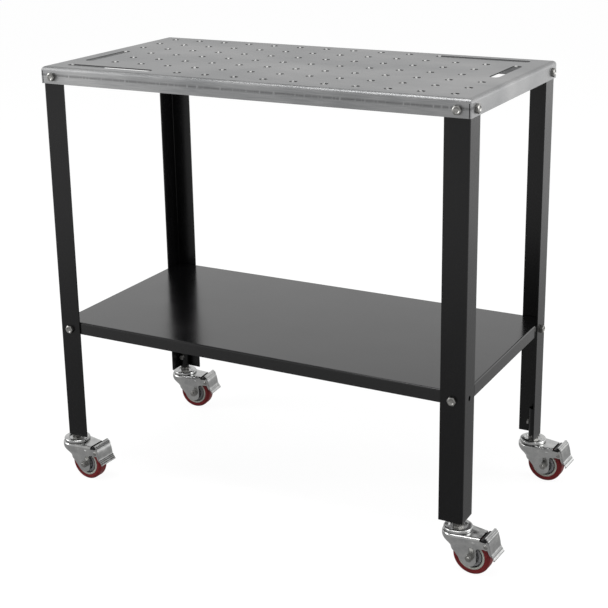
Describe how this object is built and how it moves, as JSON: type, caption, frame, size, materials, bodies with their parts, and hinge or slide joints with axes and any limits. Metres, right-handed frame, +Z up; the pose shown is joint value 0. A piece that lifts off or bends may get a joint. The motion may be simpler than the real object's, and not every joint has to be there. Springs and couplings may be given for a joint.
{
  "type": "assembly table",
  "caption": "Rolling workshop table: perforated folded steel worktop with clamp slots, four black angle legs, a lower shelf and braked swivel casters.",
  "frame": {"origin": "middle of the worktop's upper face", "axes": "+Z up out of the worktop, +X along its long side, +Y from the front to the back; the floor is 0.895 m below the origin"},
  "size_m": [1.0005, 0.487, 0.895],
  "materials": {
    "galvanised_sheet": "dull zinc-coated sheet, fine grain",
    "black_coat": "black powder coat, satin",
    "black_gloss_coat": "black coat, glossy",
    "zinc_fastener": "bright zinc plate",
    "zinc_sheet": "bright zinc plate on stamped sheet",
    "bearing_steel": "greased steel",
    "grey_core": "grey moulded wheel core",
    "red_tyre": "dark red polyurethane",
    "black_block": "black moulded brake block"
  },
  "bodies": {
    "table": {"worktop": "galvanised_sheet", "shelf": "black_gloss_coat", "worktop_bolts": "zinc_fastener", "worktop_nuts": "zinc_fastener", "shelf_bolts": "zinc_fastener", "shelf_nuts": "zinc_fastener", "leg_front_left": "black_coat", "leg_front_right": "black_coat", "leg_rear_right": "black_coat", "leg_rear_left": "black_coat", "caster_stem_front_left": "zinc_fastener", "upper_race_front_left": "zinc_sheet", "ball_ring_front_left": "bearing_steel", "caster_stem_front_right": "zinc_fastener", "upper_race_front_right": "zinc_sheet", "ball_ring_front_right": "bearing_steel", "caster_stem_rear_right": "zinc_fastener", "upper_race_rear_right": "zinc_sheet", "ball_ring_rear_right": "bearing_steel", "caster_stem_rear_left": "zinc_fastener", "upper_race_rear_left": "zinc_sheet", "ball_ring_rear_left": "bearing_steel", "stem_nuts": "zinc_fastener", "set_screws": "zinc_fastener"},
    "swivel_front_left": {"fork_front_left": "zinc_sheet", "axle_bolt_front_left": "zinc_fastener", "axle_nut_front_left": "zinc_fastener", "axle_sleeve_front_left": "bearing_steel", "pedal_pin_front_left": "zinc_fastener"},
    "wheel_front_left": {"wheel_core_front_left": "grey_core", "tyre_front_left": "red_tyre"},
    "brake_front_left": {"pedal_front_left": "zinc_sheet", "brake_block_front_left": "black_block"},
    "swivel_front_right": {"fork_front_right": "zinc_sheet", "axle_bolt_front_right": "zinc_fastener", "axle_nut_front_right": "zinc_fastener", "axle_sleeve_front_right": "bearing_steel", "pedal_pin_front_right": "zinc_fastener"},
    "wheel_front_right": {"wheel_core_front_right": "grey_core", "tyre_front_right": "red_tyre"},
    "brake_front_right": {"pedal_front_right": "zinc_sheet", "brake_block_front_right": "black_block"},
    "swivel_rear_right": {"fork_rear_right": "zinc_sheet", "axle_bolt_rear_right": "zinc_fastener", "axle_nut_rear_right": "zinc_fastener", "axle_sleeve_rear_right": "bearing_steel", "pedal_pin_rear_right": "zinc_fastener"},
    "wheel_rear_right": {"wheel_core_rear_right": "grey_core", "tyre_rear_right": "red_tyre"},
    "brake_rear_right": {"pedal_rear_right": "zinc_sheet", "brake_block_rear_right": "black_block"},
    "swivel_rear_left": {"fork_rear_left": "zinc_sheet", "axle_bolt_rear_left": "zinc_fastener", "axle_nut_rear_left": "zinc_fastener", "axle_sleeve_rear_left": "bearing_steel", "pedal_pin_rear_left": "zinc_fastener"},
    "wheel_rear_left": {"wheel_core_rear_left": "grey_core", "tyre_rear_left": "red_tyre"},
    "brake_rear_left": {"pedal_rear_left": "zinc_sheet", "brake_block_rear_left": "black_block"}
  },
  "joints": [
    {"name": "swivel_front_left_turn", "type": "hinge", "parent": "table", "child": "swivel_front_left", "pos_m": [-0.4421, -0.2135, -0.813], "axis": [0, 0, 1], "continuous": true},
    {"name": "wheel_front_left_spin", "type": "hinge", "parent": "swivel_front_left", "child": "wheel_front_left", "pos_m": [-0.41014, -0.21518, -0.8575], "axis": [0.0523, 0.9986, 0], "continuous": true},
    {"name": "brake_front_left_press", "type": "hinge", "parent": "swivel_front_left", "child": "brake_front_left", "pos_m": [-0.37679, -0.21692, -0.8256], "axis": [0.0523, 0.9986, 0], "range_deg": [0, 12]},
    {"name": "swivel_front_right_turn", "type": "hinge", "parent": "table", "child": "swivel_front_right", "pos_m": [0.4421, -0.2135, -0.813], "axis": [0, 0, 1], "continuous": true},
    {"name": "wheel_front_right_spin", "type": "hinge", "parent": "swivel_front_right", "child": "wheel_front_right", "pos_m": [0.47406, -0.21518, -0.8575], "axis": [0.0523, 0.9986, 0], "continuous": true},
    {"name": "brake_front_right_press", "type": "hinge", "parent": "swivel_front_right", "child": "brake_front_right", "pos_m": [0.50741, -0.21692, -0.8256], "axis": [0.0523, 0.9986, 0], "range_deg": [0, 12]},
    {"name": "swivel_rear_right_turn", "type": "hinge", "parent": "table", "child": "swivel_rear_right", "pos_m": [0.4421, 0.2135, -0.813], "axis": [0, 0, 1], "continuous": true},
    {"name": "wheel_rear_right_spin", "type": "hinge", "parent": "swivel_rear_right", "child": "wheel_rear_right", "pos_m": [0.47406, 0.21183, -0.8575], "axis": [0.0523, 0.9986, 0], "continuous": true},
    {"name": "brake_rear_right_press", "type": "hinge", "parent": "swivel_rear_right", "child": "brake_rear_right", "pos_m": [0.50741, 0.21008, -0.8256], "axis": [0.0523, 0.9986, 0], "range_deg": [0, 12]},
    {"name": "swivel_rear_left_turn", "type": "hinge", "parent": "table", "child": "swivel_rear_left", "pos_m": [-0.4421, 0.2135, -0.813], "axis": [0, 0, 1], "continuous": true},
    {"name": "wheel_rear_left_spin", "type": "hinge", "parent": "swivel_rear_left", "child": "wheel_rear_left", "pos_m": [-0.41022, 0.21629, -0.8575], "axis": [-0.0872, 0.9962, 0], "continuous": true},
    {"name": "brake_rear_left_press", "type": "hinge", "parent": "swivel_rear_left", "child": "brake_rear_left", "pos_m": [-0.37695, 0.2192, -0.8256], "axis": [-0.0872, 0.9962, 0], "range_deg": [0, 12]}
  ]
}
